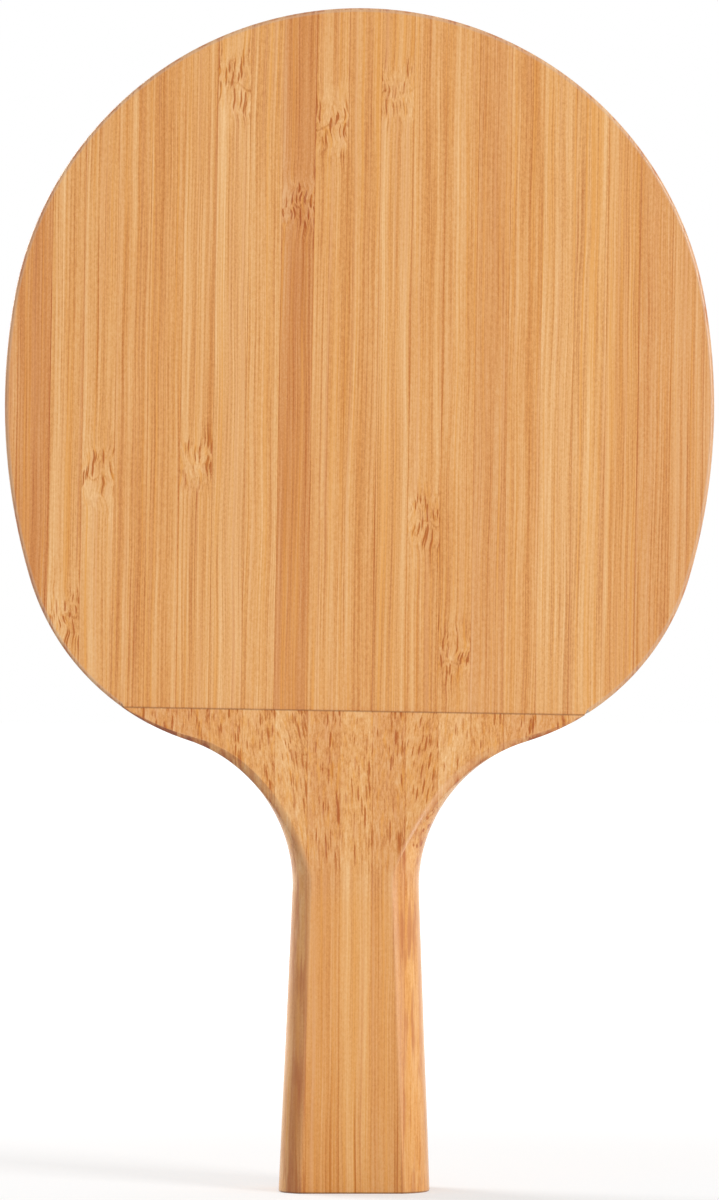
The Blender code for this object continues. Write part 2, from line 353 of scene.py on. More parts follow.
def wall_and_edge(side, radius, top):
    """Inset, height and wear of each point from the glued face up to the outer face."""
    inset, lean = wall_inset(side, radius, top)
    width = min(EDGE_BROKEN, EDGE_SHARE * (top - BLADE_HALF)) * math.cos(lean) ** 2
    wall_top = top - width * math.cos(lean)
    points = []
    for step in range(WALL_STEPS + 1):
        height = BLADE_HALF + (wall_top - BLADE_HALF) * math.sin(math.pi / 2 * step / WALL_STEPS)
        wear = WALL_WEAR_AND_PAINTED_LIGHT * max(0, 1 - (WALL_STEPS - step) / WORN_STEPS)
        points.append((wall_inset(side, radius, height)[0], height, wear))
    start = Vector((wall_inset(side, radius, wall_top)[0], wall_top))
    face = Vector((inset + width, top))
    bend = start.lerp(Vector((inset, top)), EDGE_BEND)
    for step in range(1, EDGE_ROWS + 1):
        share = step / EDGE_ROWS
        point = start * (1 - share) ** 2 + bend * 2 * share * (1 - share) + face * share**2
        points.append((point.x, point.y, 1.0 - abs(share - 0.5)))  # most worn in its middle
    points.append((inset + width + FLAT_BORDER, top, 0.0))
    return points


print(len(wall_and_edge(1, BUTT_ROUNDING[1], HANDLE_HALF)), "points up each side")

# %% A handle half's cross-section
def cross_section(z):
    """The front half cut across at z, from the glued face's left edge round to its right edge."""
    tilt = SEAM_TILT * min(1, z / ramp_start)
    section = []
    for side in (-1, 1):
        reach, turned = edge_on_row(side, z, tilt)
        placed = []
        for inset, height, wear in wall_and_edge(side, rounding(side, z), ramp_height(z)):
            x = side * (reach - inset / math.cos(turned))
            placed.append(((x, -height, z + x * math.tan(tilt)), wear))
        section += placed if side < 0 else reversed(placed)
    return section


print(f"a cross-section has {len(cross_section(0))} points")

# %% The handle board
ROW_STEP = 0.8 * MM


def section_rows():
    """Where the half is cut across: seldom on the straight handle, closely on the neck and ramp."""
    run = ramp_toe - narrowest
    rows = math.ceil(run / ROW_STEP)
    return [0, narrowest / 2] + [narrowest + run * row / rows for row in range(rows + 1)]


def draw_ring(bm, wear_and_painted_light, section):
    """A closed ring of edges through a cross-section's points."""
    verts = []
    for point, wear in section:
        verts += bmesh.ops.create_vert(bm, co=point)["vert"]
        verts[-1][wear_and_painted_light] = wear
    pairs = zip(verts, verts[1:] + verts[:1])
    return [bmesh.ops.contextual_create(bm, geom=pair)["edges"][0] for pair in pairs]


def butt_rim(edge):
    """Whether an edge goes round the half's end at the butt, off its glued face."""
    at_butt = all(vert.co.z < WELD for vert in edge.verts)
    return at_butt and any(vert.co.y < -BLADE_HALF - WELD for vert in edge.verts)


def handle_board():
    """The front handle half as one board."""
    bm = bmesh.new()
    wear_and_painted_light = bm.verts.layers.float.new("wear_and_painted_light")
    rings = [draw_ring(bm, wear_and_painted_light, cross_section(z)) for z in section_rows()]
    for lower, upper in zip(rings, rings[1:]):
        bmesh.ops.bridge_loops(bm, edges=lower + upper)
    bmesh.ops.contextual_create(bm, geom=rings[0])
    bmesh.ops.contextual_create(bm, geom=rings[-1])
    bmesh.ops.recalc_face_normals(bm, faces=bm.faces)
    round_over(bm, [edge for edge in bm.edges if butt_rim(edge)], BUTT_ARRIS, ARRIS_STEPS)
    return bm


front_half = handle_board()
back_half = front_half.copy()
bmesh.ops.scale(back_half, vec=(1, -1, 1), verts=back_half.verts)
bmesh.ops.reverse_faces(back_half, faces=back_half.faces)
print("handle board:", len(front_half.faces), "faces")

# %% [markdown]
# ## Where the boards are glued
#
# Each board was glued up from slats 6.9 mm wide before it was shaped, so the glue lines run
# straight through it. Those of the blade lean a little, square to the ramp's toe, and those of
# the halves lean with the handle. Only the two outermost slats are narrower, because the outline
# cut through them. The lines could be listed, but a board's own width gives them.

# %% The glue lines
BLADE_SLATS = 23
BLADE_LEAN = math.radians(0.95)
BLADE_RESTS = (2.7 * MM, 2.4 * MM)  # what the leftmost and the rightmost slat have left
HALF_SLATS = 15
HALF_RESTS = (4.8 * MM, 3.5 * MM)


def across_and_along(x, z, lean):
    """A point's place across and along slats that lean."""
    return x * math.cos(lean) - z * math.sin(lean), x * math.sin(lean) + z * math.cos(lean)


def glue_lines(bm, lean, slats, rests):
    """The places of a board's glue lines, evenly spaced but for the outermost slats' rests."""
    spread = [across_and_along(vert.co.x, vert.co.z, lean)[0] for vert in bm.verts]
    first = min(spread) + rests[0]
    last = max(spread) - rests[1]
    return [first + (last - first) * number / (slats - 2) for number in range(slats - 1)]


blade_lines = glue_lines(blade, BLADE_LEAN, BLADE_SLATS, BLADE_RESTS)
handle_lines = glue_lines(front_half, HANDLE_LEAN, HALF_SLATS, HALF_RESTS)
print(f"slats {(blade_lines[1] - blade_lines[0]) / MM:.2f} mm wide in the blade")
print(f"slats {(handle_lines[1] - handle_lines[0]) / MM:.2f} mm wide in the handle")

# %% [markdown]
# ## Sawing the boards into slats
#
# Each slat is a copy of the whole board with everything beyond its two glue lines cut away by
# bisect_plane. The cut is then closed with a face. Neighbouring slats share their cut, so the
# joints are tight. The middle slats run on down the handle, and the outer two of them fill it to
# its sides, so they are sawn above the neck only. The others end at the neck. Slats shaped one
# by one wouldn't share their roundings.

# %% Cutting a board
def whole(bm):
    return bm.verts[:] + bm.edges[:] + bm.faces[:]


def cut_along(bm, geom, point, normal, keep):
    """Cuts along a plane and keeps what lies behind it (-1), before it (1) or both (0)."""
    made = bmesh.ops.bisect_plane(
        bm,
        geom=geom,
        dist=WELD,
        plane_co=point,
        plane_no=normal,
        clear_inner=keep > 0,
        clear_outer=keep < 0,
    )
    cut = [piece for piece in made["geom_cut"] if isinstance(piece, bmesh.types.BMEdge)]
    if cut and keep:
        bmesh.ops.contextual_create(bm, geom=cut)


def saw(bm, geom, across, lean, keep):
    """Cuts along a glue line and keeps the left (-1) or the right (1) of it."""
    point = (across * math.cos(lean), 0, -across * math.sin(lean))
    normal = (math.cos(lean), 0, -math.sin(lean))
    cut_along(bm, geom, point, normal, keep)


def above_neck(bm):
    """What a saw reaches that stops at the neck."""
    verts = [vert for vert in bm.verts if vert.co.z > narrowest - WELD]
    kept = set(verts)
    edges = [edge for edge in bm.edges if all(vert in kept for vert in edge.verts)]
    faces = [face for face in bm.faces if all(vert in kept for vert in face.verts)]
    return verts + edges + faces


print(len(above_neck(blade)), "of the blade's", len(whole(blade)), "parts lie above the neck")

# %% Sawing out a slat
STRIPS_DOWN_HANDLE = 5


def saw_slat(board, lines, place, lean):
    """A copy of the board, sawn to the slat at this place from the left."""
    bm = board.copy()
    first_down = (len(lines) + 1 - STRIPS_DOWN_HANDLE) // 2
    last_down = first_down + STRIPS_DOWN_HANDLE - 1
    if not first_down <= place <= last_down:
        cut_along(bm, whole(bm), (0, 0, narrowest), (0, 0, 1), keep=1)
    elif place in (first_down, last_down):
        cut_along(bm, whole(bm), (0, 0, narrowest), (0, 0, 1), keep=0)
    if place > 0:
        geom = above_neck(bm) if place == first_down else whole(bm)
        saw(bm, geom, lines[place - 1], lean, keep=1)
    if place < len(lines):
        geom = above_neck(bm) if place == last_down else whole(bm)
        saw(bm, geom, lines[place], lean, keep=-1)
    bmesh.ops.recalc_face_normals(bm, faces=bm.faces)
    return bm


sample = saw_slat(blade, blade_lines, BLADE_SLATS // 2, BLADE_LEAN)
open_edges = [edge for edge in sample.edges if not edge.is_manifold]
print("middle blade slat:", len(sample.faces), "faces,", len(open_edges), "open edges")
sample.free()

# %% [markdown]
# ## What bamboo looks like
#
# Bamboo is pale, soft tissue with dark, hard fibre bundles along its whole length. A slat shows
# them as fine lines. Where the ramp cuts them at a slant they turn into short dashes, and on the
# butt into dots. At a knuckle of the stem the bundles swerve, so a flat face cuts them at a slant
# there too, and shows curved dashes round a pale spot.
#
# So the material isn't a picture on a surface. It is worked out in the slat's own space: across
# the slat, through it and along it. Attributes carry that space. "grain" is where in the stem a
# point was cut from, and differs for each slat. "place" says how far the point is from the
# slat's middle, from its knuckle and from the ramp's toe. "shade" says on which side its bundles
# lie close together, how strong its knuckle is, and how far its bundles' ovals lean. "brown" says
# how brown its core is, and where across the slat the core lies. The last one is up to 1 on the
# broken edges that hands and tables rub. It places their wear there, and also a painted sheen and
# painted shade.

# %% Colours
def linear(red, green, blue):
    """0 to 255 sRGB values as the linear colour that a shader takes."""
    colour = []
    for channel in (red, green, blue):
        value = channel / 255
        colour.append(value / 12.92 if value <= 0.04045 else ((value + 0.055) / 1.055) ** 2.4)
    return colour + [1.0]


TONES = {
    "pale": (230, 169, 102),
    "honey": (227, 163, 94),
    "golden": (225, 159, 89),
    "tan": (221, 154, 87),
    "brown": (214, 143, 77),
}
print("tones, from pale to dark:", ", ".join(TONES))

# %% Adding nodes and calculating
def add_node(tree, kind, inputs=None, **settings):
    """A shader node with its settings made and its inputs joined or set."""
    made = tree.nodes.new(kind)
    for name, value in settings.items():
        setattr(made, name, value)
    for name, value in (inputs or {}).items():
        if isinstance(value, bpy.types.NodeSocket):
            tree.links.new(value, made.inputs[name])
        else:
            made.inputs[name].default_value = value
    return made


def work_out(tree, operation, a, b=0.0, c=0.0, clamp=False):
    made = add_node(tree, "ShaderNodeMath", {0: a, 1: b, 2: c}, operation=operation, use_clamp=clamp)
    return made.outputs[0]


def times(tree, a, b, clamp=False):
    return work_out(tree, "MULTIPLY", a, b, clamp=clamp)


def times_plus(tree, a, b, c, clamp=False):
    return work_out(tree, "MULTIPLY_ADD", a, b, c, clamp)


print("helpers:", times.__name__, "and", times_plus.__name__)

# %% Fading and blending
def fade(tree, value, start, end, low=0.0, high=1.0):
    """Runs smoothly from low to high as the value goes from start to end."""
    made = add_node(
        tree,
        "ShaderNodeMapRange",
        {"Value": value, "From Min": start, "From Max": end, "To Min": low, "To Max": high},
        interpolation_type="SMOOTHSTEP",
    )
    return made.outputs["Result"]


def blended(tree, colour, other, share):
    """Some of another colour mixed in. The node takes colours at its sockets 6 and 7."""
    made = add_node(tree, "ShaderNodeMix", {0: share, 6: colour, 7: other}, data_type="RGBA")
    return made.outputs[2]


print("helpers:", fade.__name__, "and", blended.__name__)

# %% Noise in the slat's space
NOISES = {
    "sway": ((190, 190, 190), 1, 0.5),
    "wander": ((60, 230, 24), 1, 0.5),
    "heave": ((210, 210, 120), 1, 0.5),
    "blotch": ((230, 230, 90), 1, 0.5),
    "bands": ((520, 330, 6), 2, 0.5),
    "fine": ((3000, 1900, 20), 3, 0.7),
    "mottle": ((2400, 2400, 1500), 3, 0.75),
    "warmth": ((1500, 900, 9), 2, 0.5),
    "brown patches": ((150, 150, 30), 1, 0.5),
    "burnt and shaded patches": ((300, 300, 60), 1, 0.5),
    "rusty streaks": ((750, 400, 75), 2, 0.5),
}  # name: waves in a metre across a slat, through it and along it, detail and its roughness


def stretched(tree, spot, scales):
    """A place in the slat, scaled differently each way."""
    parts = [times(tree, value, scale) for value, scale in zip(spot, scales)]
    return add_node(tree, "ShaderNodeCombineXYZ", dict(enumerate(parts))).outputs[0]


def noise(tree, spot, name):
    """Soft noise about 0, mostly within a quarter of it either way."""
    scales, detail, roughness = NOISES[name]
    settings = {"Scale": 1.0, "Detail": detail, "Roughness": roughness}
    made = add_node(
        tree, "ShaderNodeTexNoise", {"Vector": stretched(tree, spot, scales), **settings}
    )
    return work_out(tree, "SUBTRACT", made.outputs["Fac"], 0.5)


print(f"{len(NOISES)} kinds of noise, the finest with {max(NOISES['fine'][0])} waves in a metre")

# %% Reading a slat's attributes
SLAT_VECTORS = ("grain", "place", "shade", "brown")


def attribute(tree, name):
    """The three numbers of an attribute."""
    made = add_node(tree, "ShaderNodeAttribute", attribute_name=name, attribute_type="GEOMETRY")
    return add_node(tree, "ShaderNodeSeparateXYZ", {0: made.outputs["Vector"]}).outputs


def read_slat(tree):
    """What the attributes say at a point of a slat."""
    slat = {name: attribute(tree, name) for name in SLAT_VECTORS}
    slat["wear_and_painted_light"] = add_node(tree, "ShaderNodeAttribute", attribute_name="wear_and_painted_light").outputs["Fac"]
    return slat


print("attributes of a slat:", ", ".join(SLAT_VECTORS), "and worn")

# %% [markdown]
# ## Knuckles
#
# Between two knuckles of the stem the fibres run almost straight. At a knuckle they sway and dive
# deeper, and a broken line shows where a sheath grew round the stem. Each pattern could be bent
# by itself, but bending the place where they are read does it once for all of them.

# %% Where the fibres run
KNUCKLE_REACH = 8.0 * MM
KNUCKLE_DIVE = 3.1 * MM  # how much deeper in the stem the fibres run above a knuckle
KNUCKLE_HEAVE = 3.4 * MM  # this one and the next two are for a noise of 1
KNUCKLE_SWAY = 2.6 * MM
WANDER = 1.5 * MM


def knuckle_near(tree, slat):
    """From 0 far from the knuckle to its strength at its middle."""
    reach = work_out(tree, "DIVIDE", slat["place"][1], KNUCKLE_REACH)
    squared = times(tree, reach, reach)
    bump = work_out(tree, "EXPONENT", times(tree, squared, -1.0))
    return times(tree, bump, slat["shade"][1])


def along_the_fibres(tree, slat, knuckle, heave):
    """The place with the fibres drawn straight: they wander, and dive and sway at a knuckle."""
    grain = slat["grain"]
    dive = fade(tree, slat["place"][1], -KNUCKLE_REACH, KNUCKLE_REACH, 0.0, KNUCKLE_DIVE)
    lift = times(tree, times(tree, heave, knuckle), KNUCKLE_HEAVE)
    through = work_out(tree, "ADD", work_out(tree, "ADD", grain[1], dive), lift)
    sway = times(tree, times(tree, noise(tree, grain, "sway"), knuckle), KNUCKLE_SWAY)
    bend = times_plus(tree, noise(tree, grain, "wander"), WANDER, sway)
    across = work_out(tree, "ADD", grain[0], bend)
    return times_plus(tree, slat["shade"][2], through, across), through, grain[2]


print(f"fibres dive {KNUCKLE_DIVE / MM:.1f} mm over {2 * KNUCKLE_REACH / MM:.0f} mm at a knuckle")

# %% The scar across a knuckle
SCAR_SLANT = 9.0 * MM
SCAR_EDGE = (0.5 * MM, 0.1 * MM)  # how far from its middle it starts, and where it is full
SCAR_BREAKS = (-0.06, 0.08)  # noise at which it is missing, and at which it is full


def scar(tree, slat, knuckle, blotch):
    """1 on the broken line across a knuckle."""
    slanted = times_plus(tree, blotch, SCAR_SLANT, slat["place"][1])
    line = fade(tree, work_out(tree, "ABSOLUTE", slanted), *SCAR_EDGE)
    return times(tree, times(tree, line, fade(tree, blotch, *SCAR_BREAKS)), knuckle)


print(f"a scar is at most {2 * SCAR_EDGE[0] / MM:.1f} mm wide")

# %% [markdown]
# ## Fibre bundles
#
# A bundle is a hard thread, darker than the tissue round it, and thicker towards the bark. Lines
# could be drawn on each face, but then the ramp and the butt would need drawings of their own.
# Here they are long cells of a solid pattern, which give lines, dashes and dots by themselves.

# %% Bundles as long cells
BUNDLE_SCALES = (1650, 720, 13)  # bundles in a metre, across a slat, through it and along it
BUNDLE_SIZES = (-1.2, 1.0, 0.16, 0.40)  # from the loose side to the dense one, and sizes there
KNUCKLE_BUNDLE = 0.32  # size of a bundle at a knuckle, where 0.5 would touch the next
BUNDLE_EDGE = (0.10, -0.08)
FAINTEST_BUNDLE = 0.2
FAINTEST_AT_KNUCKLE = 0.75


def on_dense_side(tree, slat):
    """-1 at the slat's loose side, 1 at the side where its bundles lie close together."""
    return times(tree, slat["place"][0], slat["shade"][0])


def bundles(tree, slat, fibre, knuckle):
    """1 in the middle of a fibre bundle. They are thicker on the slat's dense side."""
    spot = stretched(tree, fibre, BUNDLE_SCALES)
    cells = add_node(tree, "ShaderNodeTexVoronoi", {"Vector": spot, "Scale": 1.0})
    size = fade(tree, on_dense_side(tree, slat), *BUNDLE_SIZES)
    change = work_out(tree, "SUBTRACT", KNUCKLE_BUNDLE, size)
    size = times_plus(tree, knuckle, change, size)
    core = fade(tree, work_out(tree, "SUBTRACT", cells.outputs["Distance"], size), *BUNDLE_EDGE)
    strength = add_node(tree, "ShaderNodeSeparateColor", {0: cells.outputs["Color"]}).outputs[0]
    strength = times_plus(tree, strength, 1.0 - FAINTEST_BUNDLE, FAINTEST_BUNDLE)
    least = times(tree, knuckle, FAINTEST_AT_KNUCKLE)
    return times(tree, core, work_out(tree, "MAXIMUM", strength, least))


print(f"bundles {1 / BUNDLE_SCALES[0] / MM:.2f} mm apart across a slat")

# %% How plainly the bundles show
ALONG = 0.02  # slants of a face along the fibres, and of one that cuts them fully
FULL_CUT = 0.22
ALONG_SHOW = 0.24  # how plainly they show on a face along the fibres
BROKEN_KNUCKLE = (3.5, 1.8)  # contrast and level of the parts of a knuckle that show more


def facing(tree):
    """How much the surface faces forwards or back, and how much up or down, from 0 to 1 each."""
    normal = add_node(tree, "ShaderNodeNewGeometry").outputs["Normal"]
    parts = add_node(tree, "ShaderNodeSeparateXYZ", {0: normal}).outputs
    return work_out(tree, "ABSOLUTE", parts[1]), work_out(tree, "ABSOLUTE", parts[2])


def plainness(tree, knuckle, blotch, slant):
    """Little on a face along the fibres, 1 on a slanting cut, and more in parts of a knuckle."""
    cut = fade(tree, slant, ALONG, FULL_CUT, ALONG_SHOW, 1.0)
    broken = times_plus(tree, blotch, *BROKEN_KNUCKLE)
    return work_out(tree, "MAXIMUM", cut, times(tree, knuckle, broken))


print(f"bundles show fully on a cut {math.degrees(math.asin(FULL_CUT)):.0f} degrees off the fibres")

# %% [markdown]
# ## Glue, painted shade and brown cores
#
# Glue darkens a joint. A dark hairline along the ramp's toe is partly glue and partly the painted
# shadow of the toe's step, and a dark rim round the foot of the butt is painted shade. Lines as
# thin as these aren't worth a piece of their own, so they are drawn by the distance from the
# joint. Some slats are brown along their middle, in uneven bands. That is a stain in the solid,
# so it comes out at both faces.

# %% Dark hairlines
JOINT_EDGE = (0.06, 0.0)  # of half a slat
# the toe line is partly glue and partly the painted shadow of the toe's step
TOE_LINE = 0.26 * MM
# the butt line is painted shade round the foot of the butt, where it stands on the floor
BUTT_LINE = 0.5 * MM
HAIRLINE_CORE = 0.3  # of its half-width, where a line is full
OFF_THE_END = (0.98, 0.8)  # how far up or down a surface faces that isn't the butt's flat end
TOE_SHOW = 0.5
BUTT_SHOW = 0.8


def joint_line(tree, slat):
    """1 on the glue between two slats."""
    to_joint = work_out(tree, "SUBTRACT", 1.0, work_out(tree, "ABSOLUTE", slat["place"][0]))
    return fade(tree, work_out(tree, "ABSOLUTE", to_joint), *JOINT_EDGE)


def glue_and_painted_shade(tree, slat, slant):
    """The toe line, partly glue and partly painted shadow, and painted shade round the butt's foot."""
    to_toe = work_out(tree, "ABSOLUTE", slat["place"][2])
    # partly glue, partly the painted shadow of the toe's step
    toe = times(tree, fade(tree, to_toe, TOE_LINE, HAIRLINE_CORE * TOE_LINE), TOE_SHOW)
    spot = add_node(tree, "ShaderNodeTexCoord").outputs["Object"]
    height = add_node(tree, "ShaderNodeSeparateXYZ", {0: spot}).outputs[2]
    # painted shade round the foot of the butt
    butt = fade(tree, height, BUTT_LINE, HAIRLINE_CORE * BUTT_LINE)
    butt = times(tree, butt, fade(tree, slant, *OFF_THE_END))
    return work_out(tree, "MAXIMUM", toe, times(tree, butt, BUTT_SHOW))


# the toe line is partly glue and partly painted shadow
print(f"glue shows {2 * TOE_LINE / MM:.1f} mm wide along the toe")

# %% Brown cores
CORE_EDGE = (0.95, 0.25)  # of half a slat from the core's middle
BROWN_BANDS = (3.0, 0.65)  # contrast and level
BROWN_PATCHES = (2.4, 0.9)


def brown_stain(tree, slat, bands):
    """How brown the core of the slat is here, at most 1, and below 0 where it is pale."""
    brown = slat["brown"]
    from_core = work_out(tree, "SUBTRACT", slat["place"][0], brown[1])
    core = fade(tree, work_out(tree, "ABSOLUTE", from_core), *CORE_EDGE)
    patches = times_plus(tree, noise(tree, slat["grain"], "brown patches"), *BROWN_PATCHES)
    stain = times(tree, times(tree, times_plus(tree, bands, *BROWN_BANDS), core), patches)
    return work_out(tree, "MINIMUM", times(tree, stain, brown[0]), 1.0)


print(f"a core fades out {CORE_EDGE[0]} of half a slat from its middle")

# %% [markdown]
# ## Colour, wear and painted light
#
# Slats differ in tone, but all stay within the shades of bamboo. A colour for each pattern would
# soon turn muddy. So they all meet in one number, from dark to light, and each tone has its own
# shades for it. Warmer colours are blended in after that. Then comes pale grey on the blade's
# rubbed rim, which also paints the sheen that it would catch, and burnt brown on the handle's broken
# edges, partly where a sander ran hot and partly painted shade. Rusty streaks on the roundings
# are partly painted shade as well.

# %% Light and dark
BAND_LIGHT = (0.8, 0.56)  # contrast and level
HEAVE_LIGHT = (0.8, 0.08)
JOINT_LIGHT = -0.28
LIGHT_SHARES = {
    "stain": -0.28,
    "dense side": -0.05,
    "heave": 1.0,
    "scar": -0.3,
    "fine": 1.5,
    "mottle": 0.75,
    "bundle": -0.75,
}


def lightness(tree, slat, patterns, knuckle, heave):
    """About 0.5, from the patterns in the grain, the knuckle's pale heaves and its scar."""
    blotch = noise(tree, slat["grain"], "blotch")
    plain = plainness(tree, knuckle, blotch, facing(tree)[1])
    parts = {
        **patterns,
        "dense side": times(tree, on_dense_side(tree, slat), plain),
        "heave": times(tree, knuckle, times_plus(tree, heave, *HEAVE_LIGHT)),
        "scar": scar(tree, slat, knuckle, blotch),
        "bundle": times(tree, patterns["bundle"], plain),
    }
    light = times_plus(tree, patterns["bands"], *BAND_LIGHT)
    for name, share in LIGHT_SHARES.items():
        light = times_plus(tree, parts[name], share, light)
    return times_plus(tree, patterns["joint"], JOINT_LIGHT, light, clamp=True)


print("light and dark: bands, joints,", ", ".join(LIGHT_SHARES))

# %% From light and dark to colour
GOLD = linear(232, 160, 70)
PINK = linear(226, 164, 110)
# rust for a brown core, and on the roundings also painted shade
RUST_AND_SHADE = linear(184, 100, 48)
DARKEST = (-42, -60, -60)  # from a tone to its darkest and to its palest shade
PALEST = (18, 36, 48)
GRIP_GOLD = 0.22
GRIP_FULL = 1.2  # ramp lengths below the toe, where the grip's gold is full
GOLD_BANDS = (0.02, 0.26, 0.0, 0.6)  # noise where gold starts and where it is full, and shares
PINK_BANDS = (-0.02, -0.26, 0.0, 0.5)
CORE_RUST = 0.5


def shade(tone, change):
    return linear(*(value + more for value, more in zip(TONES[tone], change)))


def shades_of(tree, tone, light):
    """A tone with its darker and paler shades."""
    shades = add_node(tree, "ShaderNodeValToRGB", {"Fac": light})
    ramp = shades.color_ramp
    ramp.elements[0].color = shade(tone, DARKEST)
    ramp.elements[1].color = shade(tone, PALEST)
    ramp.elements.new(0.5).color = linear(*TONES[tone])
    return shades.outputs["Color"]


def warmed(tree, colour, slat, fibre, stain):
    """Some bands are golden and some pinkish, a brown core is rusty, and the grip is more golden."""
    grip = fade(tree, slat["place"][2], RAMP_LENGTH, GRIP_FULL * RAMP_LENGTH, 0.0, GRIP_GOLD)
    colour = blended(tree, colour, GOLD, grip)
    warmth = noise(tree, fibre, "warmth")
    colour = blended(tree, colour, GOLD, fade(tree, warmth, *GOLD_BANDS))
    colour = blended(tree, colour, PINK, fade(tree, warmth, *PINK_BANDS))
    rusty = times(tree, work_out(tree, "MAXIMUM", stain, 0.0), stain)
    return blended(tree, colour, RUST_AND_SHADE, times(tree, rusty, CORE_RUST, clamp=True))


print("the darkest golden:", [round(value, 2) for value in shade("golden", DARKEST)[:3]])

# %% Rubbed edges, painted sheen and painted shade
# pale grey of worn lacquer, which also paints the sheen that a rounded rim catches
GREY_WEAR_AND_SHEEN = linear(205, 176, 152)
# burnt brown, partly where a sander ran hot and partly painted shade on the broken edges, most where
# they face up or down
BURNT_AND_SHADE = linear(160, 90, 54)
RIM_GREY_AND_SHEEN = 0.4
HANDLE_GREY_AND_SHEEN = 0.15
TO_HANDLE = 1.0 * MM  # below the toe, where the blade's wear gives way to the handle's
BURNT_AND_SHADED_EDGE = 1.0
ALONG_BURNT_AND_SHADED = 0.2  # of that on an edge along the fibres
CUT_BURNT_AND_SHADED = (0.2, 0.6)  # slants where an edge starts to burn more, and where it burns fully
BURNT_AND_SHADED_PATCHES = (6.0, 0.65)  # contrast and level
# rusty streaks that paint shade on roundings turned away from the front, less where a side is upright
RUST_AND_SHADE_SIDE = 0.6
STREAK_CONTRAST = 7.0
ROUNDED = (0.97, 0.85)  # how far a rounding faces forwards where rust starts, and where it is full
UPRIGHT = (0.15, 0.6, 0.3, 1.0)  # the same, from an upright side to a rounding, and shares


def rubbed_and_painted_light(tree, colour, slat):
    """Grey with a painted sheen on the rim, and burnt edges and rusty roundings that are partly painted
    shade.
    """
    on_handle = fade(tree, slat["place"][2], 0.0, TO_HANDLE)
    # grey on the rubbed rim, partly wear and partly a painted sheen
    grey_and_sheen = times_plus(tree, on_handle, HANDLE_GREY_AND_SHEEN - RIM_GREY_AND_SHEEN, RIM_GREY_AND_SHEEN)
    colour = blended(tree, colour, GREY_WEAR_AND_SHEEN, times(tree, grey_and_sheen, slat["wear_and_painted_light"]))
    frontal, slant = facing(tree)
    # burnt edges that are partly painted shade, stronger where an edge faces up or down
    across_fibres = fade(tree, slant, *CUT_BURNT_AND_SHADED, ALONG_BURNT_AND_SHADED * BURNT_AND_SHADED_EDGE, BURNT_AND_SHADED_EDGE)
    edge = times(tree, slat["wear_and_painted_light"], times(tree, on_handle, across_fibres))
    patches = times_plus(tree, noise(tree, slat["grain"], "burnt and shaded patches"), *BURNT_AND_SHADED_PATCHES)
    colour = blended(tree, colour, BURNT_AND_SHADE, times(tree, edge, patches, clamp=True))
    streaks = times(tree, noise(tree, slat["grain"], "rusty streaks"), STREAK_CONTRAST, clamp=True)
    # painted shade with rusty streaks, by how far a rounding turns from the front
    rounded = fade(tree, frontal, *ROUNDED, 0.0, RUST_AND_SHADE_SIDE)
    side = times(tree, rounded, fade(tree, frontal, *UPRIGHT))
    return blended(tree, colour, RUST_AND_SHADE, times(tree, streaks, side))


# the burnt edges and the rusty roundings are both partly painted shade
print(f"burnt edges by up to {BURNT_AND_SHADED_EDGE:.1f}, rusty roundings by up to {RUST_AND_SHADE_SIDE:.1f}")

# %% [markdown]
# ## Lacquer
#
# A bare bat has a thin satin lacquer, which sinks a little into the soft tissue. A shell of it
# would be far too thin to model, so it is the shader's own coat over a duller base, with a faint
# relief that follows the fibres.

# %% Satin lacquer
BASE_GLOSS = (0.25, 0.40)  # of the fine pattern, and the roughness that it starts from
WORN_ROUGHER = 0.15
MOTTLE_ROUGHER = 0.20
BUNDLE_RELIEF = 0.5
JOINT_RELIEF = -0.8
RELIEF = 0.06 * MM
RELIEF_SHARE = 0.3


def lacquer(tree, shader, slat, patterns):
    """Rougher where the edges are rubbed, and sunk a little into the softer tissue."""
    gloss = times_plus(tree, patterns["fine"], *BASE_GLOSS)
    gloss = times_plus(tree, slat["wear_and_painted_light"], WORN_ROUGHER, gloss)
    gloss = times_plus(tree, patterns["mottle"], MOTTLE_ROUGHER, gloss, clamp=True)
    tree.links.new(gloss, shader.inputs["Roughness"])
    relief = times_plus(tree, patterns["bundle"], BUNDLE_RELIEF, patterns["fine"])
    relief = times_plus(tree, patterns["joint"], JOINT_RELIEF, relief)
    settings = {"Height": relief, "Strength": RELIEF_SHARE, "Distance": RELIEF}
    bump = add_node(tree, "ShaderNodeBump", settings)
    tree.links.new(bump.outputs["Normal"], shader.inputs["Normal"])
    shader.inputs["Specular IOR Level"].default_value = 0.1
    shader.inputs["Coat Weight"].default_value = 0.6
    shader.inputs["Coat Roughness"].default_value = 0.2


print(f"relief up to {RELIEF / MM:.2f} mm, at {RELIEF_SHARE:.0%} strength")

# %% The bamboo materials
# dark glue, and also the colour of the painted shade along the toe and round the butt
GLUE_AND_SHADE = linear(120, 76, 42)


